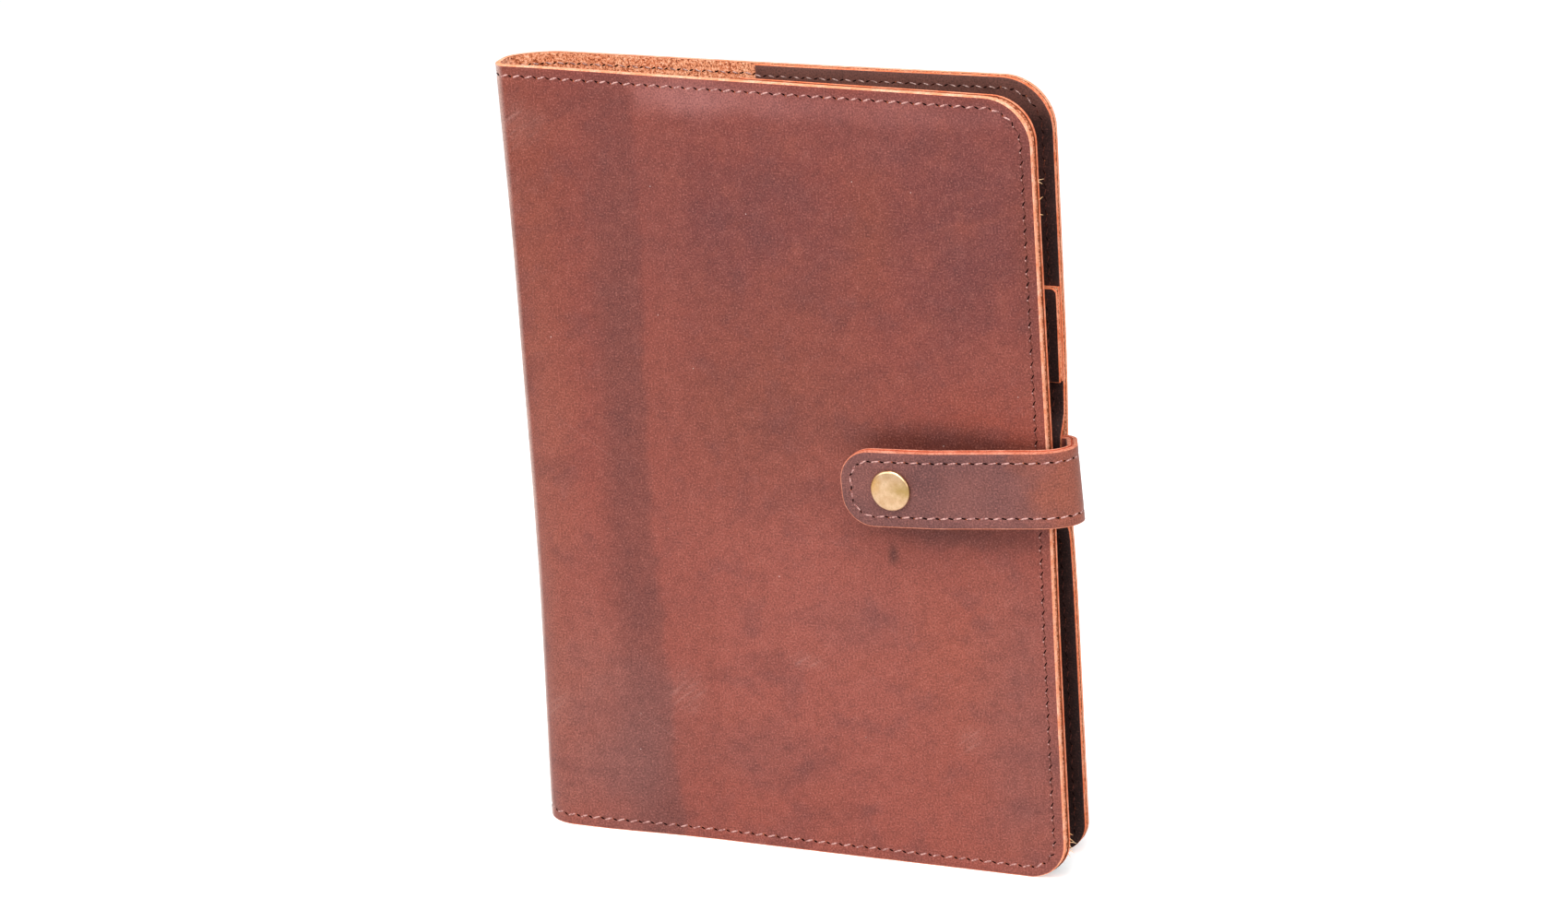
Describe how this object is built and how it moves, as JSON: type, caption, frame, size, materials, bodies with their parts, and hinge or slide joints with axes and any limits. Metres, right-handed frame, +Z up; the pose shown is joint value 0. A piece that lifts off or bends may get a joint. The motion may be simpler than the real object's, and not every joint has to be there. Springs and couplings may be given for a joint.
{
  "type": "leather snap strap journal",
  "caption": "Upright leather journal cover with sewn inside flaps, a pen loop and a strap with a press stud, holding a bound notebook.",
  "frame": {"origin": "middle of the back panel's lower edge, on the surface that the journal stands on", "axes": "+Z up along the spine, +X from the spine to the fore edge, +Y out of the back panel, so the front faces -Y"},
  "size_m": [0.1737, 0.0316, 0.236],
  "materials": {
    "cover_leather": "satin",
    "flap_leather": "satin",
    "lining_leather": "satin",
    "thread": "matte",
    "antique_brass": "satin",
    "spring_steel": "satin",
    "notebook_card": "matte",
    "paper": "matte"
  },
  "bodies": {
    "back_cover": {"back_panel": "cover_leather", "back_flap": "flap_leather", "back_thread": "thread", "pen_loop": "flap_leather", "strap_tail_outer": "cover_leather", "strap_tail_lining": "lining_leather", "notebook_back_cover": "notebook_card", "notebook_back_pages": "paper"},
    "spine": {"spine_leather": "cover_leather", "spine_thread": "thread", "notebook_spine": "notebook_card"},
    "front_cover": {"front_panel": "cover_leather", "front_flap": "flap_leather", "front_thread": "thread", "stud": "antique_brass", "stud_eyelet": "antique_brass", "notebook_front_cover": "notebook_card"},
    "front_pages": {"notebook_front_pages": "paper"},
    "strap_bend": {"strap_bend_outer": "cover_leather", "strap_bend_lining": "lining_leather", "strap_bend_thread": "thread"},
    "strap": {"strap_outer": "cover_leather", "strap_lining": "lining_leather", "strap_thread": "thread", "snap_cap": "antique_brass", "snap_socket": "antique_brass", "snap_spring": "spring_steel"}
  },
  "joints": [
    {"name": "spine_hinge", "type": "hinge", "parent": "back_cover", "child": "spine", "pos_m": [-0.08224, -0.00086, 0.118], "axis": [0, 0, -1], "range_deg": [0, 89]},
    {"name": "front_hinge", "type": "hinge", "parent": "spine", "child": "front_cover", "pos_m": [-0.08254, -0.01524, 0.118], "axis": [0, 0, -1], "range_deg": [0, 89]},
    {"name": "page_turn", "type": "hinge", "parent": "back_cover", "child": "front_pages", "pos_m": [-0.0795, -0.00865, 0.118], "axis": [0, 0, -1], "range_deg": [0, 178]},
    {"name": "strap_root_hinge", "type": "hinge", "parent": "back_cover", "child": "strap_bend", "pos_m": [0.0879, -0.00223, 0.12184], "axis": [-0.0523, 0.0018, 0.9986], "range_deg": [0, 85]},
    {"name": "strap_fold_hinge", "type": "hinge", "parent": "strap_bend", "child": "strap", "pos_m": [0.08782, -0.02485, 0.12188], "axis": [-0.0523, 0.0018, 0.9986], "range_deg": [0, 85]}
  ],
  "couplings": [
    {"joint": "front_hinge", "follows": "spine_hinge", "ratio": 1},
    {"joint": "page_turn", "follows": "spine_hinge", "ratio": 2},
    {"joint": "strap_fold_hinge", "follows": "strap_root_hinge", "ratio": 1}
  ]
}
